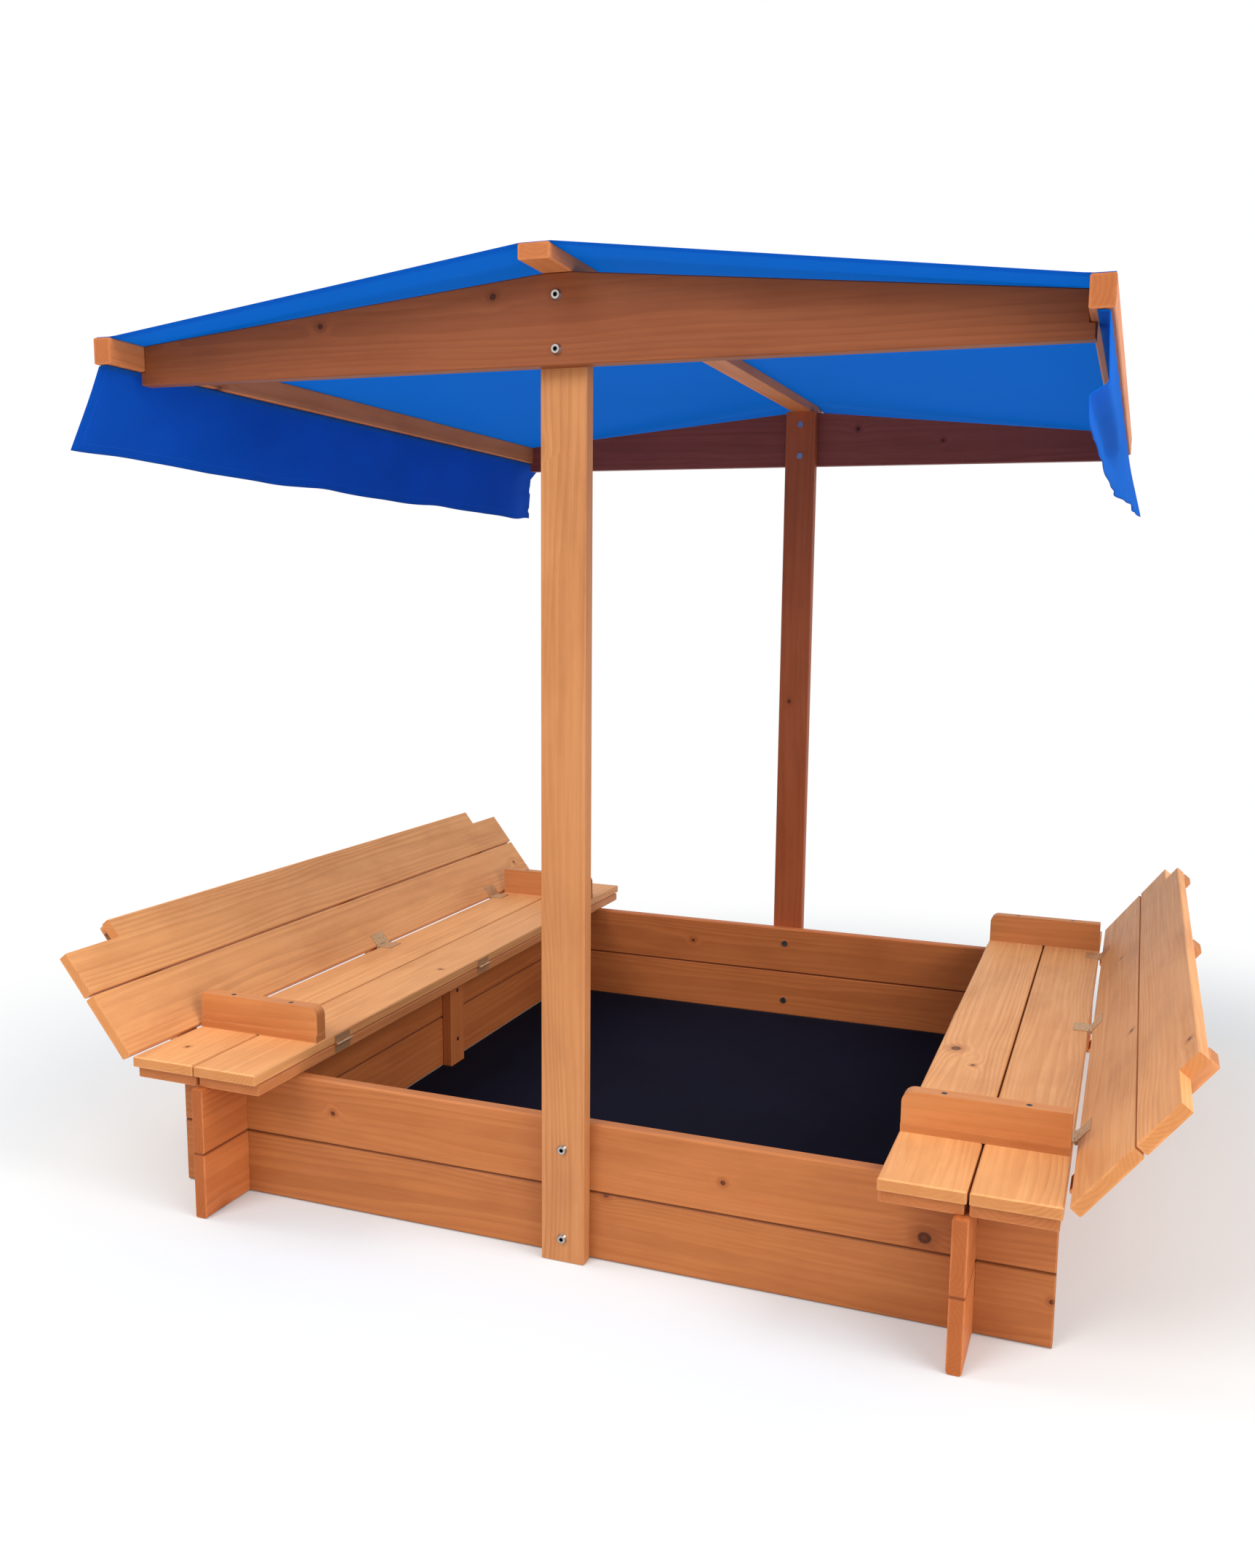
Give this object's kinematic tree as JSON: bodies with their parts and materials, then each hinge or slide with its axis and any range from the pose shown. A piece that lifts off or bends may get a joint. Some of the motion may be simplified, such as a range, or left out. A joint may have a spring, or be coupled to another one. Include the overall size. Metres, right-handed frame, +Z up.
{
  "type": "sandbox with cover",
  "caption": "Square timber sandbox with a fabric roof and two side benches with backs that fold inwards to make its lid.",
  "frame": {"origin": "on the ground, in the middle of the plan", "axes": "+X along the front wall to the right, +Y from the front wall to the back wall, +Z up"},
  "size_m": [1.506, 1.24, 1.2159],
  "materials": {
    "timber": "stained softwood, satin",
    "canopy_cloth": "woven polyester, matt",
    "ground_cloth": "non-woven felt, matt",
    "hinge_steel": "zinc plated",
    "fastener_steel": "bright zinc"
  },
  "bodies": {
    "frame": {"barrel_nuts": "fastener_steel", "base_slat_left_inner": "timber", "base_slat_left_outer": "timber", "base_slat_right_inner": "timber", "base_slat_right_outer": "timber", "canopy": "canopy_cloth", "eave_rail_left": "timber", "eave_rail_right": "timber", "frame_screws": "fastener_steel", "gable_back": "timber", "gable_bolts": "fastener_steel", "gable_front": "timber", "ground_sheet": "ground_cloth", "post_back": "timber", "post_front": "timber", "ridge_pole": "timber", "seat_hinge_left_base": "hinge_steel", "seat_hinge_pins": "hinge_steel", "seat_hinge_right_base": "hinge_steel", "valance_left": "canopy_cloth", "valance_right": "canopy_cloth", "wall_back_lower": "timber", "wall_back_upper": "timber", "wall_bolts": "fastener_steel", "wall_cleat_left": "timber", "wall_cleat_right": "timber", "wall_front_lower": "timber", "wall_front_upper": "timber", "wall_left_lower": "timber", "wall_left_upper": "timber", "wall_right_lower": "timber", "wall_right_upper": "timber"},
    "left_seat": {"armrest_left_back": "timber", "armrest_left_front": "timber", "armrest_screws_left": "fastener_steel", "armrest_strips_left": "timber", "back_hinge_left_seat": "hinge_steel", "back_hinge_pins_left": "hinge_steel", "seat_hinge_left_seat": "hinge_steel", "seat_slat_left_inner": "timber", "seat_slat_left_outer": "timber"},
    "left_back": {"back_battens_left": "timber", "back_hinge_left_back": "hinge_steel", "back_slat_left_lower": "timber", "back_slat_left_upper": "timber", "batten_screws_left": "fastener_steel"},
    "right_seat": {"armrest_right_back": "timber", "armrest_right_front": "timber", "armrest_screws_right": "fastener_steel", "armrest_strips_right": "timber", "back_hinge_pins_right": "hinge_steel", "back_hinge_right_seat": "hinge_steel", "seat_hinge_right_seat": "hinge_steel", "seat_slat_right_inner": "timber", "seat_slat_right_outer": "timber"},
    "right_back": {"back_battens_right": "timber", "back_hinge_right_back": "hinge_steel", "back_slat_right_lower": "timber", "back_slat_right_upper": "timber", "batten_screws_right": "fastener_steel"}
  },
  "joints": [
    {"name": "left_seat_fold", "type": "hinge", "parent": "frame", "child": "left_seat", "pos_m": [-0.406, 0, 0.1957], "axis": [0, 1, 0], "range_deg": [0, 180]},
    {"name": "left_back_fold", "type": "hinge", "parent": "left_seat", "child": "left_back", "pos_m": [-0.6095, 0, 0.2106], "axis": [0, -1, 0], "range_deg": [0, 52]},
    {"name": "right_seat_fold", "type": "hinge", "parent": "frame", "child": "right_seat", "pos_m": [0.406, 0, 0.1957], "axis": [0, -1, 0], "range_deg": [0, 180]},
    {"name": "right_back_fold", "type": "hinge", "parent": "right_seat", "child": "right_back", "pos_m": [0.6095, 0, 0.2106], "axis": [0, 1, 0], "range_deg": [0, 52]}
  ],
  "couplings": [
    {"joint": "left_back_fold", "follows": "left_seat_fold", "ratio": 0.28889},
    {"joint": "right_back_fold", "follows": "right_seat_fold", "ratio": 0.28889}
  ]
}
